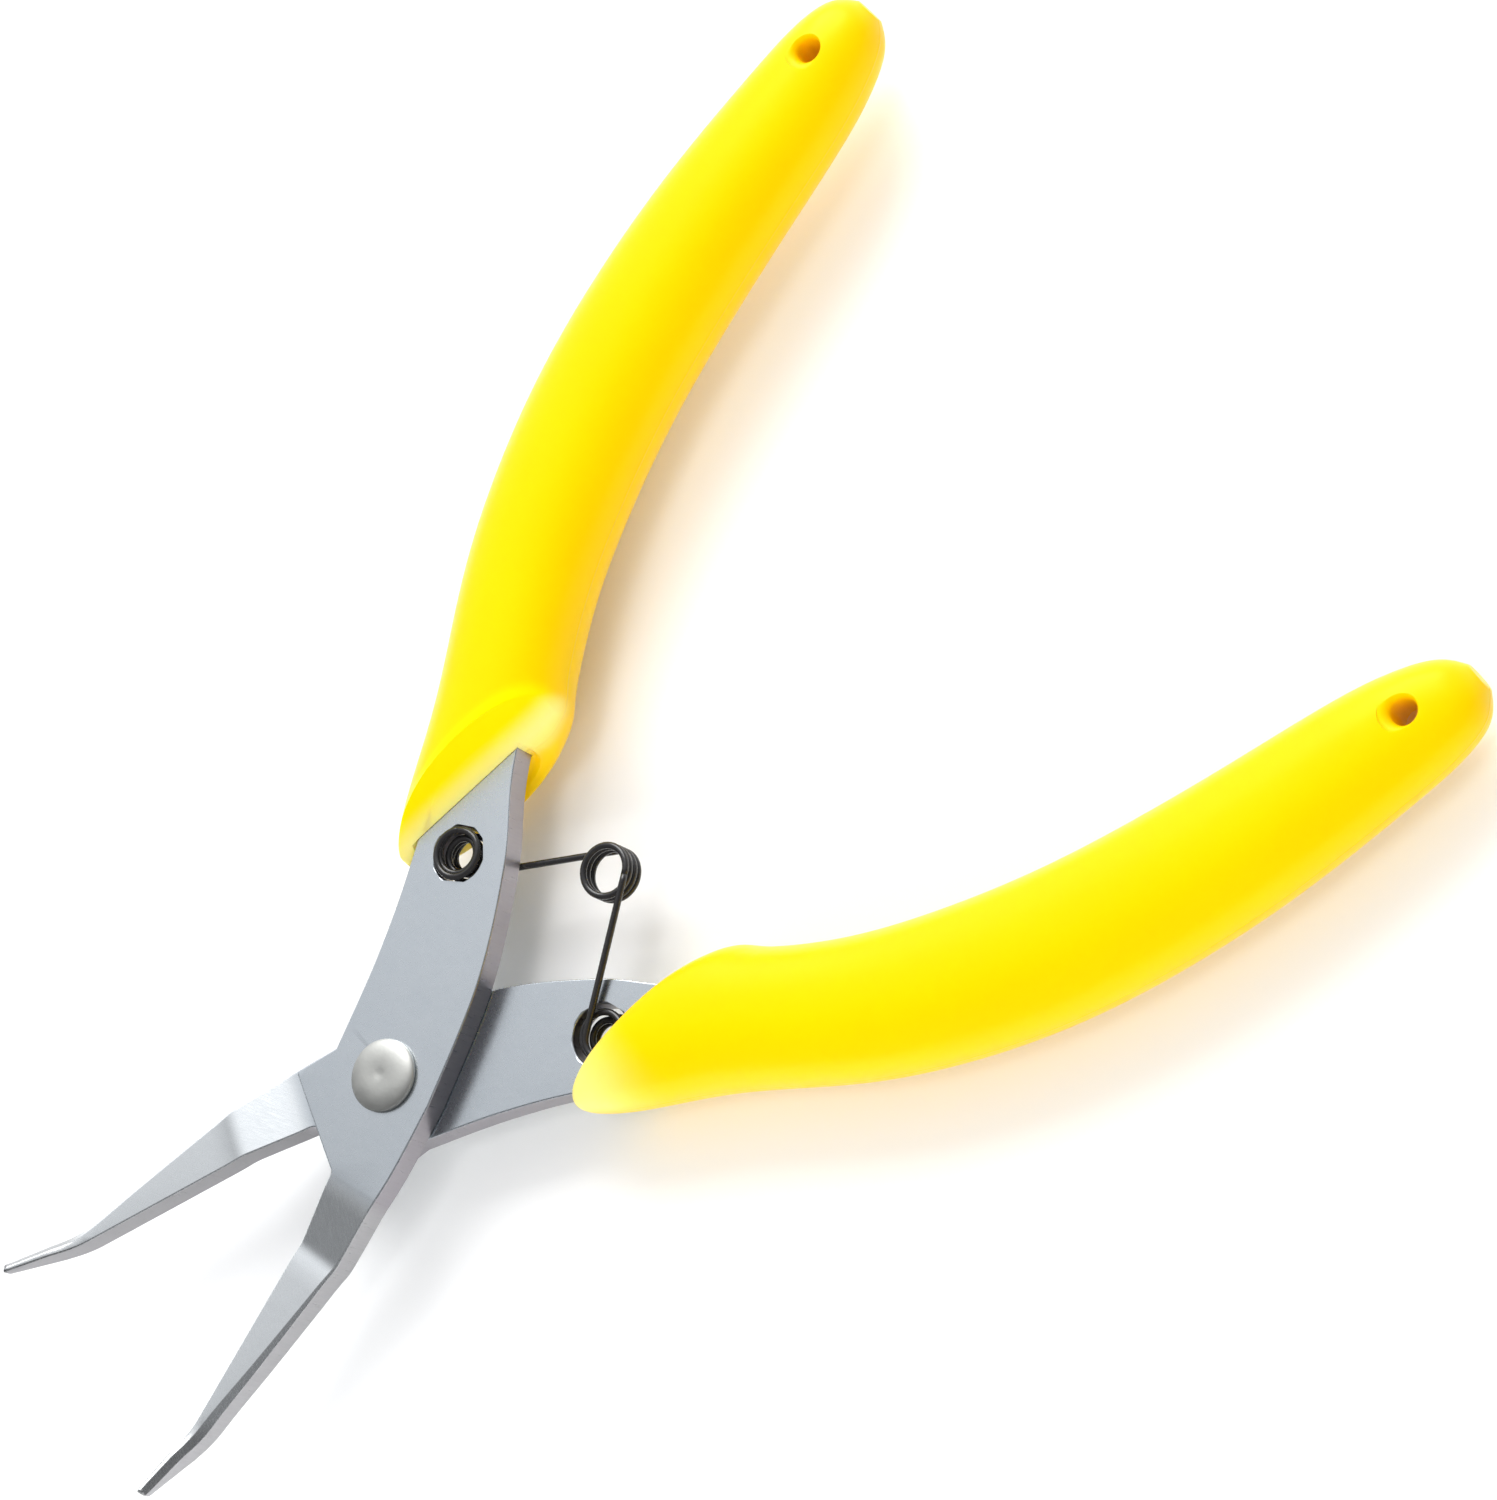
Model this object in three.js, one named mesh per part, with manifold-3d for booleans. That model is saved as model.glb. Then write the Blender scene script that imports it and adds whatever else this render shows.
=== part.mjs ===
// Spring-loaded bent-nose mini pliers for beadwork, lying flat and sprung open.
// Millimetres, +Z up, handles towards +Y. Two stamped halves cross on a pivot rivet:
// the front half lies above the parting plane and the back half is the same shape
// turned over about Y, but both tips are bent the same way, up.
// A half is drawn where it lies when the pliers are open, with the pivot at (0, 0, 0).

import * as THREE from 'three';
import { mergeVertices } from 'three/addons/utils/BufferGeometryUtils.js';
import Module from 'manifold-3d';

const wasm = await Module();
wasm.setup();

// plates
const PLATE = 2.2;              // sheet thickness
const PARTING_GAP = 0.03;       // each half stands this far off the parting plane
const FIT_GAP = 0.3;            // clearance round a piece that is held in another
const OPEN_HALF = THREE.MathUtils.degToRad(17.8);   // each jaw's angle from the middle

// jaw, measured along and across its gripping face from the pivot
const JAW_LENGTH = 36.5;
const FACE_GAP = 0.03;          // closed jaws keep twice this between their faces
const FACE_HOLLOW = 0.12;       // extra gap at the root end of the gripping face
const JOGGLE_START = 8.8;       // the jaw steps to the middle plane between these two
const JOGGLE_END = 14.2;
const BEND_START = 29.8;
const BEND_RUN = 2.4;           // length over which the nose bends up
const BEND_SLOPE = 0.54;        // rise per millimetre beyond the bend
const TAPER_START = 32.8;       // the nose thins from here to its tip
const TIP_THICKNESS = 1.0;
const BEVEL_START = 11;         // bevel on the outer top edge, growing to the nose
const BEVEL_WIDTH = 0.4;
const BEVEL_DROP = 0.65;
const JAW_WIDTHS = [[0, 4.8], [7, 5.0], [14, 4.1], [23.4, 2.47], [30.3, 1.2], [36.5, 0.75]];

// tang and ear outlines (x, y)
const TANG_INNER = [[4.57, 1.46], [0.03, 10.2], [-5.75, 17.4], [-12.2, 23.5], [-21.0, 36.0], [-26.2, 47]];
const TANG_OUTER = [[-4.8, -2.0], [-8.1, 5.0], [-12.2, 11.9], [-20.6, 23.8], [-28.2, 37], [-31.2, 46]];
const FRONT_EAR = [-5.84, -5.73];
const BACK_EAR = [-4.3, -5.7];
const EAR_NOTCH = [2.6, -7.85];
const HUB_CORNER = [3.6, -5.5];
const TANG_START = 0.35;        // share of the tang's length that lies ahead of the slot

// pivot rivet
const RIVET_R = 1.7;
const RIVET_FIT = 0.05;
const RIVET_HEAD_R = 2.8;
const RIVET_HEAD = 0.75;        // dome height
const RIVET_RIM = 0.3;          // straight edge under the dome

// return spring: one wire with an eyelet through each tang and a coil between them
const WIRE_R = 0.27;
const EYE = new THREE.Vector2(-9.38, 14.93);
const EYE_R = 1.82;             // wire centre in the end turns
const EYE_WAIST = 1.35;         // wire centre in the middle turns
const EYE_TURNS = 4.5;
const EYE_PROUD = 0.25;         // the first turn stands this far off the plate's face
const EYE_INSET = 0.8;          // the arm leaves the eyelet this far inside its end turns
const EYE_HOLE_R = 2.4;
const COIL = new THREE.Vector2(0, 23.0);
const COIL_R = 1.92;
const COIL_HALF_TURN_COUNT = 1.64;
const COIL_PITCH = 0.56;
const COIL_SPLIT = 0.07;        // half the space between the two legs' coils

// grips: outer x y, inner x y, half thickness of each control section
const GRIP_SECTIONS = [
  [-11.4, 12.6, -11.3, 24.1, 3.6],
  [-11.5, 11.2, -11.15, 25.2, 4.1],
  [-12.45, 10.4, -11.4, 26.4, 4.5],
  [-15.3, 13.5, -12.3, 28.2, 4.6],
  [-20.1, 20.7, -14.7, 30.3, 4.6],
  [-28.4, 30.7, -19.5, 36.9, 4.6],
  [-35.1, 43.5, -24.8, 48.1, 4.6],
  [-39.0, 58.0, -28.5, 60.0, 4.5],
  [-40.5, 71.0, -31.4, 72.0, 3.9],
  [-40.7, 76.3, -33.2, 77.0, 3.4],
  [-40.1, 79.1, -34.7, 79.5, 2.5],
  [-38.6, 80.5, -36.3, 80.6, 1.1],
];
const GRIP_STEPS = 3;           // sections made between two control sections
const GRIP_SIDES = 24;
const GRIP_SQUARENESS = 0.9;    // 1 is an ellipse, less is squarer
const FRONT_SLIP = [-0.5, 0.4]; // shift of the mouth end, as the two mouldings differ a little
const BACK_SLIP = [0.1, -0.5];
const SLIP_ROWS = 7;            // the shift dies out over this many control sections
const MOUTH_X = -11.9;          // the mouth is cut back to here beside the plate
const MOUTH_RELIEF = 0.35;      // height over the plate at which its two lips begin
const LIP_X = -11.4;            // the lower lip reaches here
const LIP_DROP = 2.2;           // depth of the lower lip's inner edge under the plate
const UPPER_LEAN = 0.65;        // the upper lip stands back by this share of its height
const LANYARD = new THREE.Vector2(-36.8, 75.4);
const LANYARD_R = 1.0;

// ---------------------------------------------------------------- helpers

function closed(geometry) {
  geometry.deleteAttribute('normal');
  geometry.deleteAttribute('uv');
  return mergeVertices(geometry.index ? geometry.toNonIndexed() : geometry, 1e-4);
}

function solid(geometry) {
  const g = closed(geometry);
  const vertProperties = new Float32Array(g.attributes.position.array);
  const triVerts = new Uint32Array(g.index.array);
  return new wasm.Manifold(new wasm.Mesh({ numProp: 3, vertProperties, triVerts }));
}

function geometryOf(manifold) {
  const mesh = manifold.getMesh();
  const g = new THREE.BufferGeometry();
  g.setAttribute('position', new THREE.BufferAttribute(new Float32Array(mesh.vertProperties), 3));
  g.setIndex(Array.from(mesh.triVerts));
  return g;
}

// joins equal loops of points into one closed skin with a flat cap at each end
function loft(loops) {
  const n = loops[0].length;
  const positions = loops.flat().flatMap((p) => [p.x, p.y, p.z]);
  const index = [];
  for (let i = 0; i + 1 < loops.length; i++) {
    for (let j = 0; j < n; j++) {
      const a = i * n + j;
      const b = i * n + (j + 1) % n;
      index.push(a, b, a + n, b, b + n, a + n);
    }
  }
  const last = (loops.length - 1) * n;
  for (let j = 1; j + 1 < n; j++) {
    index.push(0, j + 1, j);
    index.push(last, last + j, last + j + 1);
  }
  const g = new THREE.BufferGeometry();
  g.setAttribute('position', new THREE.Float32BufferAttribute(positions, 3));
  g.setIndex(index);
  return g;
}

// upright prism over a closed outline of Vector2 points
function prism(points, bottom, top) {
  const shape = new THREE.Shape(points);
  const g = new THREE.ExtrudeGeometry(shape, { depth: top - bottom, bevelEnabled: false });
  return g.translate(0, 0, bottom);
}

function peg(x, y, radius, bottom, top, sides) {
  const g = new THREE.CylinderGeometry(radius, radius, top - bottom, sides);
  return g.rotateX(Math.PI / 2).translate(x, y, (bottom + top) / 2);
}

// smooth curve through (x, y) pairs from the share `from` of its length; with a
// sideways shift, it also runs on past its end by as much
function edge(pairs, steps, shift = 0, from = 0) {
  const curve = new THREE.SplineCurve(pairs.map(([x, y]) => new THREE.Vector2(x, y)));
  const points = [];
  for (let i = 0; i <= steps; i++) {
    const t = from + (1 - from) * (i / steps);
    const along = curve.getTangent(t);
    const aside = new THREE.Vector2(along.y, -along.x).multiplyScalar(shift);
    points.push(curve.getPoint(t).add(aside));
    if (shift !== 0 && i === steps) {
      points.push(points[i].clone().addScaledVector(along, Math.abs(shift)));
    }
  }
  return points;
}

// ---------------------------------------------------------------- plates

const JAW_WIDTH_CURVE = new THREE.SplineCurve(JAW_WIDTHS.map(([s, w]) => new THREE.Vector2(s, w)));

function jawWidth(s) {
  const points = JAW_WIDTH_CURVE.getPoints(60);
  const i = Math.min(Math.max(points.findIndex((p) => p.x >= s), 1), points.length - 1);
  const [a, b] = [points[i - 1], points[i]];
  return a.y + (b.y - a.y) * (s - a.x) / (b.x - a.x);
}

// height of the jaw's mid-plane at distance s; `nose` is 1 to bend up and -1 to bend down
function jawHeight(s, nose) {
  const step = THREE.MathUtils.clamp((s - JOGGLE_START) / (JOGGLE_END - JOGGLE_START), 0, 1);
  const past = Math.max(s - BEND_START, 0);
  const easing = Math.min(past, BEND_RUN);
  const rise = BEND_SLOPE * (easing * easing / (2 * BEND_RUN) + Math.max(past - BEND_RUN, 0));
  return PLATE / 2 * (1 - step) + nose * rise;
}

// one cross-section of the jaw, seen from the tip; the gripping face is at x = FACE_GAP
function jawSection(s, nose) {
  const thin = Math.max(s - TAPER_START, 0) / (JAW_LENGTH - TAPER_START);
  const half = THREE.MathUtils.lerp(PLATE, TIP_THICKNESS, thin) / 2;
  const lift = s < JOGGLE_START ? PARTING_GAP : 0;
  const middle = jawHeight(s, nose);
  const hollow = FACE_HOLLOW * Math.max(0, 1 - Math.max(s - JOGGLE_END, 0) / (BEND_START - JOGGLE_END));
  const growth = THREE.MathUtils.clamp((s - BEVEL_START) / (BEND_START - BEVEL_START), 0.02, 1);
  const inner = FACE_GAP + hollow;
  const outer = jawWidth(s);
  const drop = Math.min(BEVEL_DROP * growth, half);
  return [
    new THREE.Vector3(inner, -s, middle - half + lift),
    new THREE.Vector3(outer, -s, middle - half + lift),
    new THREE.Vector3(outer, -s, middle + half - drop),
    new THREE.Vector3(outer - BEVEL_WIDTH * growth, -s, middle + half),
    new THREE.Vector3(inner, -s, middle + half),
  ];
}

function jaw(nose) {
  const stations = [0, 4, 7, JOGGLE_START, 11.5, JOGGLE_END, 17, 20, 23, 26, BEND_START];
  for (let i = 1; i <= 4; i++) stations.push(BEND_START + BEND_RUN * i / 4);
  stations.push(TAPER_START, 34, 35.2, 36.2, JAW_LENGTH);
  return loft(stations.map((s) => jawSection(s, nose))).rotateZ(OPEN_HALF);
}

// flat part of a half: hub, ear and tang
function plateOutline(ear) {
  return [
    ...edge(TANG_INNER, 30),
    ...edge(TANG_OUTER, 30).reverse(),
    new THREE.Vector2(...ear),
    new THREE.Vector2(...EAR_NOTCH),
    new THREE.Vector2(...HUB_CORNER),
  ];
}

function plate(nose, ear) {
  const flat = solid(prism(plateOutline(ear), PARTING_GAP, PLATE));
  const pivotHole = solid(peg(0, 0, RIVET_R + RIVET_FIT, -1, PLATE + 1, 36));
  const eyeHole = solid(peg(EYE.x, EYE.y, EYE_HOLE_R, -1, PLATE + 1, 32));
  return geometryOf(flat.add(solid(jaw(nose))).subtract(pivotHole).subtract(eyeHole));
}

// ---------------------------------------------------------------- grips

function gripSection(row) {
  const [outerX, outerY, innerX, innerY, thick] = row;
  const outer = new THREE.Vector2(outerX, outerY);
  const inner = new THREE.Vector2(innerX, innerY);
  const middle = outer.clone().add(inner).multiplyScalar(0.5);
  const half = inner.clone().sub(outer).multiplyScalar(0.5);
  const loop = [];
  for (let j = 0; j < GRIP_SIDES; j++) {
    const angle = 2 * Math.PI * j / GRIP_SIDES;
    const across = Math.sign(Math.cos(angle)) * Math.abs(Math.cos(angle)) ** GRIP_SQUARENESS;
    const up = Math.sign(Math.sin(angle)) * Math.abs(Math.sin(angle)) ** GRIP_SQUARENESS;
    loop.push(new THREE.Vector3(
      middle.x + half.x * across,
      middle.y + half.y * across,
      PLATE / 2 + thick * up,
    ));
  }
  return loop;
}

// control sections blended with smooth curves, one curve for each column
function gripRows([slipX, slipY]) {
  const count = (GRIP_SECTIONS.length - 1) * GRIP_STEPS;
  const moved = GRIP_SECTIONS.map(([outerX, outerY, innerX, innerY, thick], i) => {
    const share = Math.max(0, 1 - i / SLIP_ROWS);
    const [x, y] = [slipX * share, slipY * share];
    return [outerX + x, outerY + y, innerX + x, innerY + y, thick];
  });
  const columns = moved[0].map((_, c) => new THREE.SplineCurve(
    moved.map((row, i) => new THREE.Vector2(i, row[c])),
  ));
  const rows = [];
  for (let i = 0; i <= count; i++) rows.push(columns.map((curve) => curve.getPoint(i / count).y));
  return rows;
}

// what the mouth leaves free: it is hollowed over the lower lip, and the upper lip leans back
function mouthOpening(slipX) {
  const near = PLATE / 2 + MOUTH_RELIEF;
  const low = -PLATE / 2 - LIP_DROP;
  const high = 6;
  const leanX = MOUTH_X - UPPER_LEAN * (high - near);
  const profile = [[MOUTH_X, -near], [LIP_X, low], [0, low], [0, high], [leanX, high], [MOUTH_X, near]];
  const g = prism(profile.map(([x, z]) => new THREE.Vector2(x, z)), -40, 0);
  return g.rotateX(Math.PI / 2).translate(slipX, 0, PLATE / 2);
}

function grip(slip) {
  const body = solid(loft(gripRows(slip).map(gripSection).reverse()));
  const slot = prism([
    ...edge(TANG_INNER, 24, FIT_GAP, TANG_START),
    ...edge(TANG_OUTER, 24, -FIT_GAP, TANG_START).reverse(),
  ], PARTING_GAP - FIT_GAP, PLATE + FIT_GAP);
  const lanyard = peg(LANYARD.x, LANYARD.y, LANYARD_R, -10, 10, 20);
  const cuts = [slot, mouthOpening(slip[0]), lanyard];
  return geometryOf(cuts.reduce((rest, cut) => rest.subtract(solid(cut)), body));
}

// ---------------------------------------------------------------- spring

// straight arm between the eyelet and the coil: it crosses between them,
// so it is turned from the line of centres by the inner tangent's angle
const ARM_ANGLE = COIL.clone().sub(EYE).angle()
  + Math.asin((EYE_R - EYE_INSET + COIL_R) / COIL.distanceTo(EYE));

function ringPoint(centre, radius, angle, z) {
  return new THREE.Vector3(
    centre.x + radius * Math.cos(angle),
    centre.y + radius * Math.sin(angle),
    z,
  );
}

// wire of one leg: down through the eyelet, along the arm, round its half of the coil
function legPoints() {
  const points = [];
  const eyeSteps = Math.round(EYE_TURNS * 18);
  const low = -WIRE_R - 0.06;
  for (let i = 0; i <= eyeSteps; i++) {
    const u = i / eyeSteps;
    const flare = THREE.MathUtils.smoothstep(Math.abs(2 * u - 1), 0.25, 0.55);
    const inset = EYE_INSET * (1 - THREE.MathUtils.smoothstep((1 - u) * EYE_TURNS, 0, 0.35));
    const radius = THREE.MathUtils.lerp(EYE_WAIST, EYE_R, flare) - inset;
    const angle = ARM_ANGLE - Math.PI / 2 - 2 * Math.PI * EYE_TURNS * (1 - u);
    points.push(ringPoint(EYE, radius, angle, THREE.MathUtils.lerp(PLATE + EYE_PROUD, low, u)));
  }
  const coilSteps = Math.round(COIL_HALF_TURN_COUNT * 20);
  const bottom = -COIL_SPLIT - COIL_PITCH * COIL_HALF_TURN_COUNT;
  const coil = [];
  for (let i = 0; i <= coilSteps; i++) {
    const u = i / coilSteps;
    const angle = ARM_ANGLE + Math.PI / 2 - 2 * Math.PI * COIL_HALF_TURN_COUNT * u;
    coil.push(ringPoint(COIL, COIL_R, angle, THREE.MathUtils.lerp(bottom, -COIL_SPLIT, u)));
  }
  const start = points[points.length - 1];
  for (let i = 1; i < 8; i++) points.push(start.clone().lerp(coil[0], i / 8));
  return points.concat(coil);
}

function springLeg() {
  const path = new THREE.CatmullRomCurve3(legPoints());
  const section = new THREE.Shape().absarc(0, 0, WIRE_R, 0, 2 * Math.PI);
  return new THREE.ExtrudeGeometry(section, {
    extrudePath: path,
    steps: 150,
    curveSegments: 4,
    bevelEnabled: false,
  });
}

// ---------------------------------------------------------------- rivet

function rivet() {
  const face = PLATE + RIVET_FIT;
  const profile = [new THREE.Vector2(0, -face - RIVET_HEAD)];
  const arc = 6;
  for (let i = 0; i <= arc; i++) {
    const a = (i / arc) * Math.PI / 2;
    const radius = 1.2 + (RIVET_HEAD_R - 1.2) * Math.sin(a);
    profile.push(new THREE.Vector2(radius, -face - RIVET_RIM - (RIVET_HEAD - RIVET_RIM) * Math.cos(a)));
  }
  profile.push(new THREE.Vector2(RIVET_HEAD_R, -face));
  profile.push(new THREE.Vector2(RIVET_R, -face));
  const upper = profile.map((p) => new THREE.Vector2(p.x, -p.y)).reverse();
  return new THREE.LatheGeometry([...profile, ...upper], 36).rotateX(Math.PI / 2);
}

// ---------------------------------------------------------------- assembly

const steel = { color: 0xbec5cb, roughness: 0.38, metalness: 1.0 };
const rivetSteel = { color: 0xc9c9c4, roughness: 0.45, metalness: 1.0 };
const springSteel = { color: 0x24211f, roughness: 0.3, metalness: 0.9 };
const yellow = { color: 0xffe600, roughness: 0.25, metalness: 0.0 };

function part(name, geometry, look, turned = false) {
  const placed = turned ? geometry.rotateY(Math.PI) : geometry;
  const mesh = new THREE.Mesh(closed(placed), new THREE.MeshStandardMaterial(look));
  mesh.name = name;
  return mesh;
}

const pliers = new THREE.Group();
pliers.add(
  part('front_plate', plate(1, FRONT_EAR), steel),
  part('back_plate', plate(-1, BACK_EAR), steel, true),
  part('pivot_rivet', rivet(), rivetSteel),
  part('front_grip', grip(FRONT_SLIP), yellow),
  part('back_grip', grip(BACK_SLIP), yellow, true),
  part('spring_front_leg', springLeg(), springSteel),
  part('spring_back_leg', springLeg(), springSteel, true),
);

// the origin is the middle of the lowest face of the box round the open pliers
const box = new THREE.Box3().setFromObject(pliers);
const centre = box.getCenter(new THREE.Vector3());
for (const mesh of pliers.children) mesh.geometry.translate(-centre.x, -centre.y, -box.min.z);

export default pliers;
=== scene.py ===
import math

import bpy
import bmesh
from mathutils import Matrix, Vector
from mathutils.geometry import delaunay_2d_cdt


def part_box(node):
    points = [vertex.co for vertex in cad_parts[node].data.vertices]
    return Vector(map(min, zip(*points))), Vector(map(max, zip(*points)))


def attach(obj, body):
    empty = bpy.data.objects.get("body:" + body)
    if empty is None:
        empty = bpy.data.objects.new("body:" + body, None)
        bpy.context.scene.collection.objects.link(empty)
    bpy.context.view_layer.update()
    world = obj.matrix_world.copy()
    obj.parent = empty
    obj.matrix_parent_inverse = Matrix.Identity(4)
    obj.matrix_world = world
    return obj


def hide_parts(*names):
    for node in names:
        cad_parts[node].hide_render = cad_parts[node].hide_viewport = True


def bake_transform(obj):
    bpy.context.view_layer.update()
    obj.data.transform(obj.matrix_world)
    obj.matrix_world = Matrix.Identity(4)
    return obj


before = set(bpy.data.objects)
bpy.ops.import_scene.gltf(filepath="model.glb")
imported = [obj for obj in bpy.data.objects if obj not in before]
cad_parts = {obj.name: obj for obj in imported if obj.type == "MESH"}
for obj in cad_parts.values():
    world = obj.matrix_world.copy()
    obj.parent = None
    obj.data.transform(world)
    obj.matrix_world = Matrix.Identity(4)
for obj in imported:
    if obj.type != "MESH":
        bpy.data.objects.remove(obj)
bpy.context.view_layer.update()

# Bent-nose mini pliers. Shapes are drawn in millimetres round the pivot, as they lie when
# the pliers are open. The back half is the front half turned over about Y, with its nose
# bent the other way, so that both noses rise.

MM = 0.001
rivet_low, rivet_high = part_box("pivot_rivet")
PIVOT = (rivet_low + rivet_high) / 2

# plates
PLATE = 2.2
PARTING_GAP = 0.03       # from the parting plane up to the half's lower face
OPEN_HALF = math.radians(17.8)
JAW_LENGTH = 36.5
FACE_GAP = 0.03          # from the closing plane to the gripping face at the nose
FACE_HOLLOW = 0.12       # further gap at the jaw's root
JOGGLE_START = 8.8
JOGGLE_END = 14.2
JOGGLE_ROUNDS = (1.3, 0.3)
OVERBEND = 0.09          # share of its height by which the press took the joggle too far
OVERBEND_TOP = JOGGLE_END + 0.25
OVERBEND_END = JOGGLE_END + 1.8
BEND_START = 29.8
BEND_RUN = 2.4           # distance over which the nose's bend eases in
BEND_SLOPE = 0.54
TAPER_START = 32.8
TIP_THICKNESS = 1.0
BEVEL_START = 11.0
BEVEL_WIDTH = 0.44       # added to the chamfer at the nose
BEVEL_DROP = 0.44
BEVEL_WIDTH_SHARE = 0.42  # of the jaw's width, at most
BEVEL_DROP_SHARE = 0.85   # of half the sheet, at most
TIP_OUTER_ROUND = 0.22
TIP_INNER_ROUND = 0.16
TIP_INNER_BEVEL = 0.3
NOTCH_ROUND = 0.2
EAR_ROUND = 0.3
# (distance along the jaw, width)
JAW_WIDTHS = [(0, 4.8), (7, 5.0), (14, 4.1), (23.4, 2.47), (30.3, 1.2), (36.5, 0.75)]
TANG_INNER = [(4.57, 1.46), (0.03, 10.2), (-5.75, 17.4), (-12.2, 23.5), (-21.0, 36.0), (-26.2, 47)]
TANG_OUTER = [(-4.8, -2.0), (-8.1, 5.0), (-12.2, 11.9), (-20.6, 23.8), (-28.2, 37), (-31.2, 46)]
FRONT_EAR = (-5.84, -5.73)
BACK_EAR = (-4.3, -5.7)
EAR_NOTCH = (2.6, -7.85)
EDGE = 0.085             # chamfer of the plates' edges
EDGE_ROUND = 0.055       # rounding of the chamfer's own edges
EDGE_LEVELS = 6          # rings of vertices in one chamfer
EYE_EDGE = 0.13          # wider chamfer round the eyelet hole
HOLE_SIDES = 96

# rivet
RIVET_R = 1.7
RIVET_FIT = 0.05
RIVET_HEAD_R = 2.8
RIVET_HEAD = 0.75
RIVET_RIM = 0.2          # height of the head's upright rim
RIVET_CROWN_R = 1.05     # radius of the nearly flat crown
RIVET_CROWN_DROP = 0.02
RIVET_SIDES = 96
# (radius, depth) of the dimple in the crown
RIVET_DIMPLE = [
    (0.8, 0.021), (0.55, 0.026), (0.4, 0.036), (0.25, 0.052), (0.1, 0.06), (0.02, 0.061),
]

# spring
WIRE_R = 0.27
WIRE_SIDES = 18
TURN_STEPS = 40          # path points to one turn
ARM_STEPS = 20
EYE = Vector((-9.38, 14.93))
EYE_R = 1.82
EYE_WAIST = 1.35         # radius of the turns inside the hole
EYE_TURNS = 4.5
EYE_PROUD = 0.2          # height of the first turn above the plate
EYE_FLAT = 0.2           # share of the eyelet that lies flat on the plate
EYE_FLAT_FALL = 0.04     # share of the eyelet's height that it loses there
EYE_INSET = 0.8          # the last turn draws in, to lead off to the arm
EYE_BELOW = 0.06         # from the parting plane to the arm
FRONT_EYE_HOLE_R = 2.2
BACK_EYE_HOLE_R = 2.4
COIL = Vector((0, 23.0))
COIL_R = 1.92
COIL_HALF_TURNS = 1.64
COIL_PITCH = 0.56
COIL_SPLIT = 0.07        # from the parting plane to the cut in the coil

# grips: outer x y, inner x y, half thickness
GRIP_SECTIONS = [
    (-11.4, 12.6, -11.3, 24.1, 3.6),
    (-11.5, 11.2, -11.15, 25.2, 4.1),
    (-12.45, 10.4, -11.4, 26.4, 4.5),
    (-15.3, 13.5, -12.3, 28.2, 4.6),
    (-20.1, 20.7, -14.7, 30.3, 4.6),
    (-28.4, 30.7, -19.5, 36.9, 4.6),
    (-35.1, 43.5, -24.8, 48.1, 4.6),
    (-39.0, 58.0, -28.5, 60.0, 4.5),
    (-40.5, 71.0, -31.4, 72.0, 3.9),
    (-40.7, 76.3, -33.2, 77.0, 3.4),
    (-40.1, 79.1, -34.7, 79.5, 2.5),
    (-38.6, 80.49, -36.3, 80.59, 1.1),
]
GRIP_STEPS = 12
GRIP_SIDES = 112
GRIP_POWER = 2.2
GRIP_SMOOTHINGS = 18
# (share of the last section's width, share of its thickness)
GRIP_TAIL = [(0.75, 0.86), (0.42, 0.6), (0.12, 0.2)]
# x low, x high, y low, y high, half thickness, power
GRIP_LIPS = [
    (-11.48, -11.32, 13.0, 23.8, 3.42, 2.3),
    (-11.6, -11.4, 13.1, 23.75, 3.25, 2.4),
    (-11.78, -11.52, 13.2, 23.7, 3.0, 2.6),
    (-11.95, -11.63, 13.1, 23.65, 2.6, 3.0),
    (-12.15, -11.7, 12.9, 23.65, 1.9, 5.0),
    (-12.3, -11.73, 12.7, 23.65, 1.2, 9.0),
]
# how far each grip's mouth sits off its drawn place, and the sections that it moves
FRONT_SLIP = (-0.5, 0.4)
BACK_SLIP = (0.1, -0.5)
SLIP_ROWS = 7
MOUTH_LINE = ((-12.3, 12.7), (-11.73, 23.65))   # where the mouth meets the plate
MOUTH_LEAN = 0.65        # the upper lip stands back by this share of its height
MOUTH_CREASE = 0.12      # rounding of the upper lip at the plate
MOUTH_ROUND = 1.1        # softness of the edge between the upper lip and the grip
RIM_HIGHLIGHT_DEPTH = 1.2          # depth of the painted highlight band on the upper lip
SLOT_FIT = 0.05
SLOT_REACH = 0.3         # the slot is longer than the tang by this much
LANYARD = Vector((-36.8, 75.4))
LANYARD_R = 1.0
LANYARD_FLARE = 0.75
LANYARD_RIM = 3.62       # height of the hole's rims above and below the grip's middle

# looks: pairs of colours that a pattern mixes
STEEL_TOP = ((0.60, 0.645, 0.685), (0.67, 0.705, 0.735))
STEEL_GROUND = ((0.78, 0.81, 0.83), (0.93, 0.95, 0.96))
# side walls: darker than the faces, the sheared finish with painted shade over it
STEEL_WALLS_WITH_SHADE = ((0.33, 0.31, 0.335), (0.43, 0.41, 0.435))
# jaw walls: one steel in a lit copy for the front half and a shaded copy for the back half,
# painted light and painted shade
FRONT_JAW_WALLS_LIT = ((0.38, 0.375, 0.385), (0.52, 0.515, 0.525))
BACK_JAW_WALLS_SHADED = ((0.25, 0.245, 0.255), (0.36, 0.355, 0.365))
# nose's ground finish: a lit copy for the front half and a shaded copy for the back half, painted
# light and painted shade
FRONT_NOSE_LIT = ((0.46, 0.47, 0.48), (0.62, 0.63, 0.63))
BACK_NOSE_SHADED = ((0.42, 0.43, 0.44), (0.56, 0.57, 0.57))
RIVET_COLOURS = ((0.53, 0.53, 0.505), (0.63, 0.63, 0.60))
SPRING_COLOURS = ((0.010, 0.010, 0.011), (0.026, 0.024, 0.024))
GRIP_COLOURS = ((1.0, 0.600, 0.0), (1.0, 0.650, 0.0))
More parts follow.
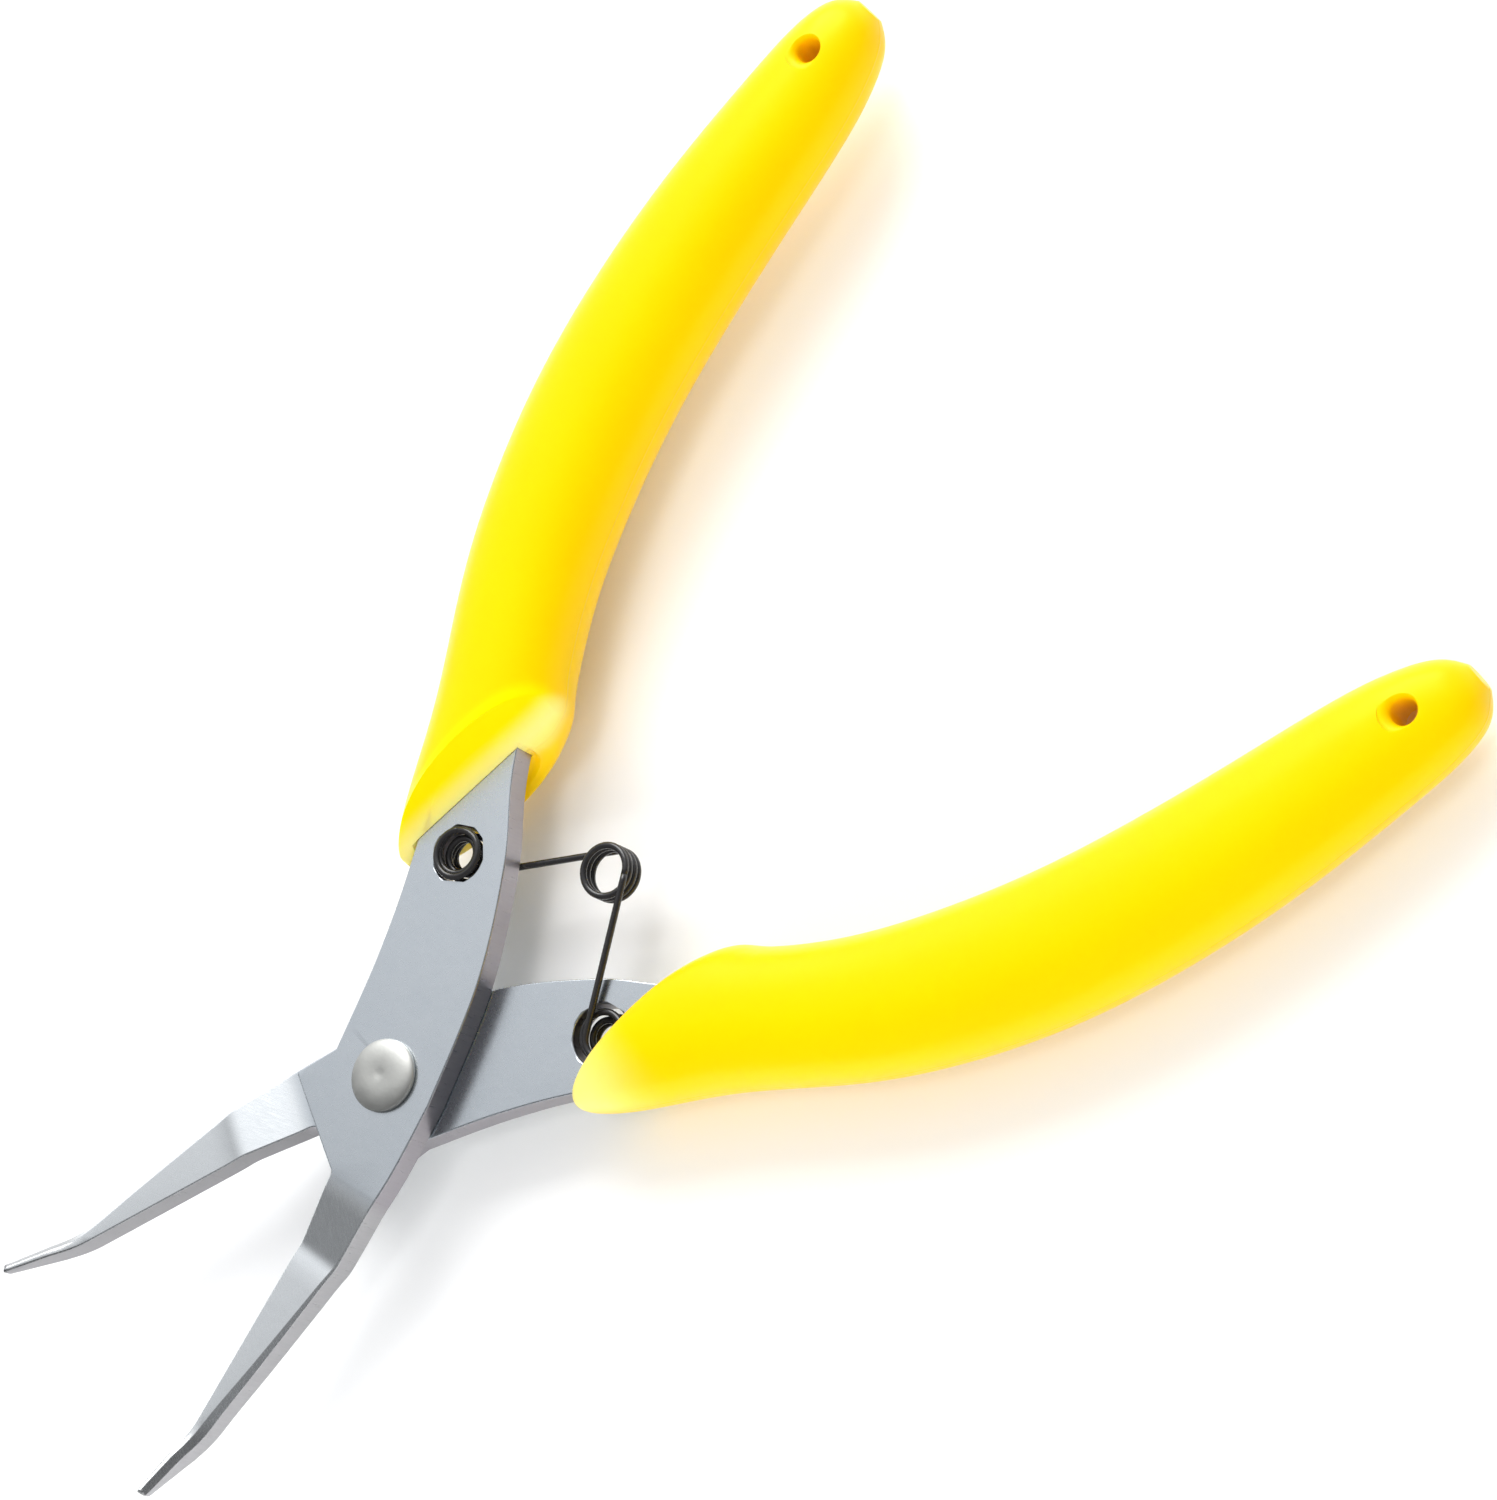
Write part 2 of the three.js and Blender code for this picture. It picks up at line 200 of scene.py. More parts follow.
# the leaning upper lip is lightened against the shade that falls on it: painted light
LIP_PAINTED_LIGHT = (1.0, 0.78, 0.0)
# painted highlight along the mouth's lips
RIM_HIGHLIGHT = (1.0, 0.86, 0.26)
GROUND_FROM = (8.2, 9.4)         # distances along the jaw where the ground finish begins
NOSE_FROM = (29.0, 31.5)
GRIND_SLANT = math.radians(12)

# studio
LIT_SIDE = (-0.75, 0.45, 0.48)   # the world is bright towards here
CAMERA_LENS = 111.04
CAMERA_SPOT = Vector((175.82, 104.79, 286.47))   # millimetres from the pivot
CAMERA_RIGHT = Vector((0.52927, 0.69472, -0.48708))
CAMERA_DOWN = Vector((0.67747, -0.69164, -0.25034))
CAMERA_FORWARD = Vector((-0.51080, -0.19748, -0.83671))


# ------------------------------------------------------------------ helpers

def clamp(x, low=0.0, high=1.0):
    return max(low, min(high, x))


def mix(a, b, t):
    return a + (b - a) * t


def smooth(x, low, high):
    t = clamp((x - low) / (high - low))
    return t * t * (3 - 2 * t)


def place(point, turned=False):
    """A point in millimetres round the pivot, in the row frame in metres."""
    x, y, z = point
    if turned:
        x, z = -x, -z
    return PIVOT + Vector((x, y, z)) * MM


def catmull(points, steps, share_from=0.0):
    """Uniform Catmull-Rom curve through the points, with `steps` points to each span."""
    rows = [tuple(p) for p in points]
    out = []
    spans = len(rows) - 1
    count = spans * steps
    for i in range(count + 1):
        t = (share_from + (1 - share_from) * i / count) * spans
        k = min(int(t), spans - 1)
        u = t - k
        near = [rows[max(k - 1, 0)], rows[k], rows[k + 1], rows[min(k + 2, spans)]]
        out.append([
            0.5 * (2 * b + (c - a) * u + (2 * a - 5 * b + 4 * c - d) * u * u
                   + (3 * b - a - 3 * c + d) * u * u * u)
            for a, b, c, d in zip(*near)
        ])
    return out


def soft_ramp(s, start, end, start_round, end_round):
    """0 before start, 1 after end, straight between, with its two creases rounded."""
    def hinge(u, w):
        if u <= -w:
            return 0.0
        return u if u >= w else (u + w) ** 2 / (4 * w)
    return (hinge(s - start, start_round) - hinge(s - end, end_round)) / (end - start)


def mesh_object(name, verts, faces):
    mesh = bpy.data.meshes.new(name)
    mesh.from_pydata(verts, [], faces)
    bm = bmesh.new()
    bm.from_mesh(mesh)
    bmesh.ops.recalc_face_normals(bm, faces=bm.faces)
    bm.to_mesh(mesh)
    bm.free()
    for p in mesh.polygons:
        p.use_smooth = True
    obj = bpy.data.objects.new(name, mesh)
    bpy.context.scene.collection.objects.link(obj)
    return obj


def apply_modifiers(obj):
    graph = bpy.context.evaluated_depsgraph_get()
    graph.update()
    mesh = bpy.data.meshes.new_from_object(obj.evaluated_get(graph))
    obj.modifiers.clear()
    obj.data = mesh


def weigh_normals(obj):
    """Keeps flat faces looking flat beside their rounded edges."""
    m = obj.modifiers.new("normals", "WEIGHTED_NORMAL")
    m.mode = "FACE_AREA_WITH_ANGLE"
    m.weight = 60
    m.keep_sharp = True


def add_field(obj, name, values):
    """Stores one number for each vertex, for the materials to read."""
    field = obj.data.attributes.new(name, "FLOAT", "POINT")
    field.data.foreach_set("value", values)


def cut(obj, cutter):
    m = obj.modifiers.new("cut", "BOOLEAN")
    m.operation = "DIFFERENCE"
    m.solver = "EXACT"
    m.object = cutter
    apply_modifiers(obj)
    bpy.data.objects.remove(cutter)


def finish_piece(obj, body, nodes, material):
    obj.data.materials.clear()
    obj.data.materials.append(material)
    if body:
        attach(obj, body)
    if nodes:
        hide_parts(*nodes)
    return obj


# ------------------------------------------------------------------ plates

WIDTH_CURVE = catmull(JAW_WIDTHS, 30)


def jaw_width(s):
    for a, b in zip(WIDTH_CURVE, WIDTH_CURVE[1:]):
        if b[0] >= s:
            return mix(a[1], b[1], (s - a[0]) / (b[0] - a[0]))
    return WIDTH_CURVE[-1][1]


def jaw_point(x, s):
    """Half-frame point at distance s along the gripping face and x away from it."""
    return Vector((
        x * math.cos(OPEN_HALF) + s * math.sin(OPEN_HALF),
        x * math.sin(OPEN_HALF) - s * math.cos(OPEN_HALF),
    ))


def jaw_distance(p):
    return p[0] * math.sin(OPEN_HALF) - p[1] * math.cos(OPEN_HALF)


def jaw_levels(s, nose):
    """Bottom and top height of the plate at distance s along the jaw."""
    step = soft_ramp(s, JOGGLE_START, JOGGLE_END, *JOGGLE_ROUNDS)
    over = smooth(s, JOGGLE_START, OVERBEND_TOP)
    step += OVERBEND * over * (1 - smooth(s, OVERBEND_TOP, OVERBEND_END))
    past = max(s - BEND_START, 0)
    easing = min(past, BEND_RUN)
    rise = BEND_SLOPE * (easing * easing / (2 * BEND_RUN) + max(past - BEND_RUN, 0))
    thin = clamp((s - TAPER_START) / (JAW_LENGTH - TAPER_START))
    half = mix(PLATE, TIP_THICKNESS, thin) / 2
    middle = PLATE / 2 * (1 - step) + nose * rise
    return middle - half + PARTING_GAP * (1 - step), middle + half


def face_offset(s):
    hollow = FACE_HOLLOW * clamp(1 - max(s - JOGGLE_END, 0) / (BEND_START - JOGGLE_END))
    return FACE_GAP + hollow


def fillet(before, corner, after, reach):
    """Rounds a corner with a parabola that starts `reach` away on either side."""
    a = (before - corner).normalized() * reach
    b = (after - corner).normalized() * reach
    return [corner + a * (1 - t) ** 2 + b * t * t for t in (0, 0.25, 0.5, 0.75, 1)]


def stations():
    """Distances along the jaw at which its two sides get a point, close together in the bends."""
    out = [i * 0.8 for i in range(1, 10)]
    out += [JOGGLE_START - 0.8 + 0.25 * i for i in range(30)]
    out += [16 + i for i in range(14)]
    out += [BEND_START + 0.25 * i for i in range(1, 26)]
    return out


def plate_outline(ear):
    """Outline of a half as (point, share of the jaw's bevel, station number or None)."""
    marks = stations()
    outline = []
    for k, s in enumerate(marks):
        share = clamp((s - BEVEL_START) / (BEND_START - BEVEL_START))
        outline.append((jaw_point(jaw_width(s), s), share, k))
    tip_outer = jaw_point(jaw_width(JAW_LENGTH), JAW_LENGTH)
    tip_inner = jaw_point(face_offset(JAW_LENGTH), JAW_LENGTH)
    for p in fillet(outline[-1][0], tip_outer, tip_inner, TIP_OUTER_ROUND):
        outline.append((p, 1.0, None))
    notch_s = jaw_distance(EAR_NOTCH)
    last_inner = jaw_point(face_offset(marks[-1]), marks[-1])
    for p in fillet(tip_outer, tip_inner, last_inner, TIP_INNER_ROUND):
        outline.append((p, TIP_INNER_BEVEL, None))
    for k in reversed(range(len(marks))):
        s = marks[k]
        if s > notch_s + 0.3:
            outline.append((jaw_point(face_offset(s), s), 0.0, k))
    notch = Vector(EAR_NOTCH)
    ear = Vector(ear)
    tang_outer = [Vector(p) for p in catmull(TANG_OUTER, 16)]
    tang_inner = [Vector(p) for p in catmull(TANG_INNER, 16)]
    for p in fillet(outline[-1][0], notch, ear, NOTCH_ROUND):
        outline.append((p, 0.0, None))
    for i in range(1, 12):
        outline.append((notch.lerp(ear, i / 12), 0.0, None))
    for p in fillet(notch, ear, tang_outer[0], EAR_ROUND):
        outline.append((p, 0.0, None))
    outline += [(ear.lerp(tang_outer[0], t), 0.0, None) for t in (0.3, 0.65)]
    outline += [(p, 0.0, None) for p in tang_outer]
    end = [tang_outer[-1].lerp(tang_inner[-1], t) for t in (0.25, 0.5, 0.75)]
    outline += [(p, 0.0, None) for p in end]
    outline += [(p, 0.0, None) for p in reversed(tang_inner)]
    outline.reverse()
    return outline


def inward(points):
    """Inward direction at each point of an anticlockwise loop, stretched for an even offset."""
    out = []
    n = len(points)
    for i in range(n):
        a = (points[i] - points[i - 1]).normalized()
        b = (points[(i + 1) % n] - points[i]).normalized()
        left = Vector((-a.y - b.y, a.x + b.x)).normalized()
        stretch = 1 / max(left.dot(Vector((-a.y, a.x))), 0.5)
        out.append(left * stretch)
    return out


def edge_profile(width, drop):
    """(inset, depth) steps of a chamfer with rounded edges, from the side wall to the face."""
    foot, crest = Vector((0, drop)), Vector((width, 0))
    slope = (crest - foot).normalized() * EDGE_ROUND
    below, beyond = foot + Vector((0, EDGE_ROUND)), crest + Vector((EDGE_ROUND, 0))
    lower = [below.lerp(foot, t).lerp(foot.lerp(foot + slope, t), t) for t in (0, 0.5, 1)]
    upper = [(crest - slope).lerp(crest, t).lerp(crest.lerp(beyond, t), t) for t in (0, 0.5, 1)]
    return lower + upper


def plate_mesh(name, nose, ear, eye_hole, turned):
    """One half's sheet; `nose` is 1 or -1 for a nose bent up or down in the half's own frame."""
    verts, faces, along = [], [], []

    def add(p, z):
        s = jaw_distance(p)
        verts.append(place((p[0], p[1], z), turned))
        along.append(s)
        return len(verts) - 1

    def loop_rings(points, shares, base):
        """Rings of one loop from its bottom face to its top face."""
        normals = inward(points)
        rings = []
        for level in range(2 * EDGE_LEVELS):
            top = level >= EDGE_LEVELS
            row = level - EDGE_LEVELS if top else EDGE_LEVELS - 1 - level
            ring = []
            for p, n, share in zip(points, normals, shares):
                s = jaw_distance(p)
                low, high = jaw_levels(s, nose)
                # the bevel is on the upper side of the finished pliers in both halves
                bevel = share if top == (not turned) else 0.0
                width = base + min(BEVEL_WIDTH, BEVEL_WIDTH_SHARE * jaw_width(s)) * bevel
                drop = min(base + BEVEL_DROP * bevel, BEVEL_DROP_SHARE * ((high - low) / 2))
                inset, depth = edge_profile(width, drop)[row]
                q = p + n * inset
                bottom_z, top_z = jaw_levels(jaw_distance(q), nose)
                ring.append(add(q, top_z - depth if top else bottom_z + depth))
            rings.append(ring)
        for a, b in zip(rings, rings[1:]):
            for i in range(len(points)):
                j = (i + 1) % len(points)
                faces.append((a[i], a[j], b[j], b[i]))
        return rings

    def in_hole(middle):
        for centre, radius, _ in holes:
            hub = place((centre.x, centre.y, 0), turned)
            if math.hypot(middle.x - hub.x, middle.y - hub.y) < radius * MM:
                return True
        return False

    outline = plate_outline(ear)
    outer = loop_rings([p for p, _, _ in outline], [share for _, share, _ in outline], EDGE)
    # holes run clockwise, so that inward points into the metal
    circle = [2 * math.pi * i / HOLE_SIDES for i in range(HOLE_SIDES)]
    bores = ((Vector((0, 0)), RIVET_R + RIVET_FIT, EDGE), (EYE, eye_hole, EYE_EDGE))
    holes = []
    for centre, radius, base in bores:
        points = [centre + Vector((math.cos(-a), math.sin(-a))) * radius for a in circle]
        holes.append((centre, radius, loop_rings(points, [0.0] * HOLE_SIDES, base)))

    # both faces are triangulated between the loops, with an edge across the jaw at each station
    flat_points = [Vector((v.x, v.y)) for v in verts]
    seen = {}
    for i, (_, _, k) in enumerate(outline):
        if k is not None:
            seen.setdefault(k, []).append(i)
    across = [pair for pair in seen.values() if len(pair) == 2]
    for which in (0, -1):
        loops = [outer[which]] + [rings[which] for _, _, rings in holes]
        ids = [v for loop in loops for v in loop]
        local = {v: i for i, v in enumerate(ids)}
        edges = []
        for loop in loops:
            edges += [(local[a], local[b]) for a, b in zip(loop, loop[1:] + loop[:1])]
        edges += [(i, j) for i, j in across]
        flat = [flat_points[v] * 1000 for v in ids]
        spots, _, triangles, origin, _, _ = delaunay_2d_cdt(flat, edges, [], 1, 1e-6)
        known = []
        for spot, sources in zip(spots, origin):
            if sources:
                known.append(ids[sources[0]])
                continue
            p = spot - Vector((PIVOT.x, PIVOT.y)) * 1000
            p.x *= -1 if turned else 1
            known.append(add(p, jaw_levels(jaw_distance(p), nose)[which]))
        for t in triangles:
            corners = [known[c] for c in t]
            if not in_hole(sum((verts[c] for c in corners), Vector()) / 3):
                faces.append(tuple(corners))
    obj = mesh_object(name, verts, faces)
    add_field(obj, "along_jaw", along)
    weigh_normals(obj)
    return obj


# ------------------------------------------------------------------ grips

def section_loop(outer, inner, thick, power=GRIP_POWER):
    """Closed oval of a grip: `power` 2 is an ellipse, more is squarer."""
    middle, half = (outer + inner) / 2, (inner - outer) / 2
    loop = []
    for j in range(GRIP_SIDES):
        angle = 2 * math.pi * j / GRIP_SIDES
        c, s = math.cos(angle), math.sin(angle)
        reach = (abs(c) ** power + abs(s) ** power) ** (-1 / power)
        flat = middle + half * c * reach
        loop.append(Vector((flat.x, flat.y, PLATE / 2 + thick * s * reach)))
    return loop


def grip_loops(slip):
    """Sections of a grip from its mouth to its end."""
    moved = []
    for i, (outer_x, outer_y, inner_x, inner_y, thick) in enumerate(GRIP_SECTIONS):
        share = max(0, 1 - i / SLIP_ROWS)
        x, y = slip[0] * share, slip[1] * share
        moved.append((outer_x + x, outer_y + y, inner_x + x, inner_y + y, thick))
    rows = catmull(moved, GRIP_STEPS)
    for _ in range(GRIP_SMOOTHINGS):
        rows = [
            row if i in (0, len(rows) - 1) else
            [mix(b, (a + c) / 2, 0.5) for a, b, c in zip(rows[i - 1], row, rows[i + 1])]
            for i, row in enumerate(rows)
        ]
    loops = [section_loop(Vector(r[0:2]), Vector(r[2:4]), r[4]) for r in rows]
    # the end closes in a soft dome
    end = rows[-1]
    middle = (Vector(end[0:2]) + Vector(end[2:4])) / 2
    for spread, thick in GRIP_TAIL:
        outer = middle.lerp(Vector(end[0:2]), spread)
        inner = middle.lerp(Vector(end[2:4]), spread)
        loops.append(section_loop(outer, inner, end[4] * thick))
    # the mouth's lips turn in to an end face that meets the plate in a straight line
    for x_low, x_high, y_low, y_high, thick, power in GRIP_LIPS:
        low = Vector((x_low + slip[0], y_low + slip[1]))
        high = Vector((x_high + slip[0], y_high + slip[1]))
        loops.insert(0, section_loop(low, high, thick, power))
    return loops


def loft(name, loops, turned):
    """Skin over a row of loops, with each end closed by a fan to its middle."""
    n = len(loops[0])
    verts = [place(p, turned) for loop in loops for p in loop]
    faces = []
    for i in range(len(loops) - 1):
        for j in range(n):
            k = (j + 1) % n
            faces.append((i * n + j, i * n + k, (i + 1) * n + k, (i + 1) * n + j))
    for start in (0, (len(loops) - 1) * n):
        verts.append(sum(verts[start:start + n], Vector()) / n)
        hub = len(verts) - 1
        faces += [(hub, start + j, start + (j + 1) % n) for j in range(n)]
    return mesh_object(name, verts, faces)


def prism(name, points, bottom, top, turned):
    n = len(points)
    verts = [place((p[0], p[1], bottom), turned) for p in points]
    verts += [place((p[0], p[1], top), turned) for p in points]
    faces = [tuple(range(n)), tuple(range(n, 2 * n))]
    faces += [(i, (i + 1) % n, n + (i + 1) % n, n + i) for i in range(n)]
    return mesh_object(name, verts, faces)


def spun(name, centre, profile, sides, turned):
    """Closed solid of revolution about an upright axis; the profile is (radius, height) rows."""
    loops = []
    for radius, height in profile:
        loops.append([
            Vector((
                centre[0] + radius * math.cos(2 * math.pi * j / sides),
                centre[1] + radius * math.sin(2 * math.pi * j / sides),
                height,
            )) for j in range(sides)
        ])
    return loft(name, loops, turned)


def tang_slot(turned):
    """Cutter a little larger than the tang, which is open at the mouth."""
    points = []
    for pairs, side, flip in ((TANG_INNER, 1, False), (TANG_OUTER, -1, True)):
        curve = [Vector(p) for p in catmull(pairs, 16, 0.3)]
        curve.append(curve[-1] + (curve[-1] - curve[-2]).normalized() * SLOT_REACH)
        shifted = []
        for i, p in enumerate(curve):
            along = (curve[min(i + 1, len(curve) - 1)] - curve[max(i - 1, 0)]).normalized()
            shifted.append(p + Vector((along.y, -along.x)) * SLOT_FIT * side)
        points += reversed(shifted) if flip else shifted
    return prism("slot", points, PARTING_GAP - SLOT_FIT, PLATE + SLOT_FIT, turned)


def lanyard_cutter(turned):
    """Pin with trumpet ends, so that the lanyard hole has soft rims on both faces."""
    profile = [(LANYARD_R + LANYARD_FLARE + 0.6, 6.5), (LANYARD_R + LANYARD_FLARE, 3.9)]
    for i in range(9):
        a = math.pi / 2 * i / 8
        profile.append((
            LANYARD_R + LANYARD_FLARE * (1 - math.sin(a)),
            LANYARD_RIM - LANYARD_FLARE * (1 - math.cos(a)),
        ))
    both = profile + [(r, -z) for r, z in reversed(profile)]
    return spun("pin", LANYARD, [(r, PLATE / 2 + z) for r, z in both], 48, turned)


def lean_mouth(obj, slip, turned):
    """Presses the upper lip back onto a leaning plane and marks where light is painted on the
    mouth: the leaning lip is lightened and a highlight band is painted along the lips.
    """
    side = -1 if turned else 1
    (x_low, y_low), (x_high, y_high) = MOUTH_LINE
    rim, lip = [], []
    for v in obj.data.vertices:
        p = (v.co - PIVOT) / MM
        x, y, z = side * p.x - slip[0], p.y - slip[1], side * p.z
        line = mix(x_low, x_high, clamp((y - y_low) / (y_high - y_low)))
        ahead = x - line + MOUTH_LEAN * max(z - PLATE, 0)
        soft = mix(MOUTH_CREASE, MOUTH_ROUND, smooth(z, PLATE + 0.2, PLATE + 2.0))
        push = ahead if ahead >= soft else max(ahead + soft, 0) ** 2 / (4 * soft)
        push *= smooth(z, 0.3 * PLATE, PLATE + 0.1)
        v.co.x -= side * push * MM
        v.co.y += push * MM
        # lip: the leaning upper lip, lightened in the material as painted light against its shade
        lip.append(smooth(ahead - push, -1.1, -0.1) * smooth(z, PLATE / 2, PLATE))
        # painted highlight: a band on the upper lip along the plate, and one on the lower lip at
        # its outer corner
        upper = smooth(x - push - line, -RIM_HIGHLIGHT_DEPTH, 0.0)
        lower = 0.85 * smooth(x - line, -6.5, -0.8) * (1 - smooth(y, 12.0, 18.5))
        rim.append(mix(lower, upper, smooth(z, -0.4, PLATE)))
    add_field(obj, "rim", rim)
    add_field(obj, "lip", lip)


def grip_mesh(name, slip, turned):
    obj = loft(name, grip_loops(slip), turned)
    cut(obj, tang_slot(turned))
    cut(obj, lanyard_cutter(turned))
    lean_mouth(obj, slip, turned)
    for p in obj.data.polygons:
        p.use_smooth = True
    obj.data.set_sharp_from_angle(angle=math.radians(38))
    weigh_normals(obj)
    return obj


# ------------------------------------------------------------------ spring

# the arm leaves the eyelet on one side and meets the coil on the other
ARM_ANGLE = math.atan2(*reversed(COIL - EYE)) + math.asin(
    (EYE_R - EYE_INSET + COIL_R) / (COIL - EYE).length)


def ring_point(centre, radius, angle, z):
    return Vector((centre.x + radius * math.cos(angle), centre.y + radius * math.sin(angle), z))


def eyelet_points():
    """Path of the turns wound through the plate, wide at both faces, from the top to the arm."""
    points = []
    steps = round(EYE_TURNS * TURN_STEPS)
    low = -WIRE_R - EYE_BELOW
    for i in range(steps + 1):
        u = i / steps
        fall = max((u - EYE_FLAT) / (1 - EYE_FLAT), EYE_FLAT_FALL * min(u / EYE_FLAT, 1))
        flare = smooth(abs(2 * u - 1), 0.25, 0.55)
        inset = EYE_INSET * (1 - smooth((1 - u) * EYE_TURNS, 0, 0.35))
        radius = mix(EYE_WAIST, EYE_R, flare) - inset
        angle = ARM_ANGLE - math.pi / 2 - 2 * math.pi * EYE_TURNS * (1 - u)
        points.append(ring_point(EYE, radius, angle, mix(PLATE + EYE_PROUD, low, fall)))
    return points


def coil_points():
    """Path of one leg's half of the coil, from its arm to the cut in the middle."""
    points = []
    steps = round(COIL_HALF_TURNS * TURN_STEPS)
    bottom = -COIL_SPLIT - COIL_PITCH * COIL_HALF_TURNS
    for i in range(steps + 1):
        u = i / steps
        angle = ARM_ANGLE + math.pi / 2 - 2 * math.pi * COIL_HALF_TURNS * u
        points.append(ring_point(COIL, COIL_R, angle, mix(bottom, -COIL_SPLIT, u)))
    return points


def tube(name, path, radius, domed_start=False):
    """Round wire along a path of row-frame points; the start can have a domed end."""
    rows = []
    side = (path[1] - path[0]).normalized().orthogonal().normalized()
    for i, p in enumerate(path):
        along = (path[min(i + 1, len(path) - 1)] - path[max(i - 1, 0)]).normalized()
        side = (side - along * side.dot(along)).normalized()
        other = along.cross(side)
        if domed_start and i == 0:
            for a in (1.45, 1.1, 0.7, 0.35):
                rows.append((p - along * radius * math.sin(a), side, other, radius * math.cos(a)))
        rows.append((p, side, other, radius))
    verts, faces = [], []
    for p, a, b, reach in rows:
        for j in range(WIRE_SIDES):
            angle = 2 * math.pi * j / WIRE_SIDES
            verts.append(p + (a * math.cos(angle) + b * math.sin(angle)) * reach)
    for row in range(0, len(verts) - WIRE_SIDES, WIRE_SIDES):
        for j in range(WIRE_SIDES):
            k = (j + 1) % WIRE_SIDES
            faces.append((row + j, row + k, row + WIRE_SIDES + k, row + WIRE_SIDES + j))
    faces.append(tuple(range(WIRE_SIDES)))
    faces.append(tuple(range(len(verts) - WIRE_SIDES, len(verts))))
    return mesh_object(name, verts, faces)


def leg_mesh(name, turned):
    eye, coil = eyelet_points(), coil_points()
    path = eye + [eye[-1].lerp(coil[0], i / ARM_STEPS) for i in range(1, ARM_STEPS + 1)]
    return tube(name, [place(p, turned) for p in path], WIRE_R * MM, domed_start=True)


def coil_mesh(name):
    """The whole coil: one leg's half, the other leg's half and a bridge over the cut."""
    half = coil_points()
    other = [Vector((-p.x, p.y, -p.z)) for p in reversed(half)]
    last, first = half[-1], other[0]
    a0 = math.atan2(*reversed((last - COIL.to_3d()).xy))
    a1 = math.atan2(*reversed((first - COIL.to_3d()).xy))
    while a1 > a0 + 1e-6:
        a1 -= 2 * math.pi
    bridge = max(2, round((a0 - a1) / (2 * math.pi) * TURN_STEPS))
    joined = half + [
        ring_point(COIL, COIL_R, mix(a0, a1, i / bridge), mix(last.z, first.z, i / bridge))
        for i in range(1, bridge)
    ] + other
    return tube(name, [place(p) for p in joined], WIRE_R * MM)


# ------------------------------------------------------------------ rivet

def rivet_mesh():
    """Shank with a low domed head at both ends."""
    face = PLATE + RIVET_FIT
    rim = face + RIVET_RIM
    head = RIVET_HEAD - RIVET_RIM - RIVET_CROWN_DROP
    top = [
        (RIVET_R, face), (RIVET_HEAD_R - 0.06, face), (RIVET_HEAD_R, face + 0.05),
        (RIVET_HEAD_R, rim),
    ]
    for i in range(1, 11):
        a = math.pi / 2 * i / 10
        reach = RIVET_CROWN_R + (RIVET_HEAD_R - RIVET_CROWN_R) * math.cos(a)
        top.append((reach, rim + head * math.sin(a)))
    top += [(radius, face + RIVET_HEAD - depth) for radius, depth in RIVET_DIMPLE]
    profile = [(r, -z) for r, z in reversed(top)] + top
    obj = spun("rivet", (0, 0), profile, RIVET_SIDES, False)
    weigh_normals(obj)
    return obj


# ------------------------------------------------------------------ materials

def new_material(name):
    material = bpy.data.materials.new(name)
    material.use_nodes = True
    nodes = material.node_tree.nodes
    links = material.node_tree.links
    return material, nodes, links, nodes["Principled BSDF"]


def coordinates(nodes, links, scale=(1, 1, 1), turn=0.0):
    """Object coordinates in millimetres, scaled and turned about Z."""
    where = nodes.new("ShaderNodeTexCoord")
    shift = nodes.new("ShaderNodeMapping")
    shift.vector_type = "POINT"
    shift.inputs["Scale"].default_value = [1000 * s for s in scale]
    if turn:
        first = nodes.new("ShaderNodeMapping")
        first.inputs["Rotation"].default_value = (0, 0, turn)
        links.new(where.outputs["Object"], first.inputs["Vector"])
        links.new(first.outputs["Vector"], shift.inputs["Vector"])
    else:
        links.new(where.outputs["Object"], shift.inputs["Vector"])
    return shift.outputs["Vector"]


def noise(nodes, links, vector, scale, detail, rough):
    n = nodes.new("ShaderNodeTexNoise")
    n.inputs["Scale"].default_value = scale
    n.inputs["Detail"].default_value = detail
    n.inputs["Roughness"].default_value = rough
    links.new(vector, n.inputs["Vector"])
    return n.outputs["Fac"]


def stored(nodes, name):
    """A number that the mesh stores for each vertex."""
    n = nodes.new("ShaderNodeAttribute")
    n.attribute_name = name
    return n.outputs["Fac"]


def ranged(nodes, links, value, low, high, new_low, new_high):
    r = nodes.new("ShaderNodeMapRange")
    r.inputs["From Min"].default_value = low
    r.inputs["From Max"].default_value = high
    r.inputs["To Min"].default_value = new_low
    r.inputs["To Max"].default_value = new_high
    links.new(value, r.inputs["Value"])
    return r.outputs["Result"]


def spread(nodes, links, pattern, low, high):
    """Turns a noise, which seldom leaves 0.3 to 0.7, into numbers from low to high."""
    return ranged(nodes, links, pattern, 0.3, 0.7, low, high)


def calc(nodes, links, kind, a, b=None):
    m = nodes.new("ShaderNodeMath")
    m.operation = kind
    links.new(a, m.inputs[0])
    if b is not None:
        m.inputs[1].default_value = b
    return m.outputs["Value"]


def blend_colours(nodes, links, share, first, second):
    m = nodes.new("ShaderNodeMix")
    m.data_type = "RGBA"
    links.new(share, m.inputs["Factor"])
    for index, value in ((6, first), (7, second)):
        if isinstance(value, tuple):
            m.inputs[index].default_value = (*value, 1)
        else:
            links.new(value, m.inputs[index])
    return m.outputs[2]


def blend_values(nodes, links, share, first, second):
    m = nodes.new("ShaderNodeMix")
    m.data_type = "FLOAT"
    for index, value in ((0, share), (2, first), (3, second)):
        links.new(value, m.inputs[index])
    return m.outputs[0]


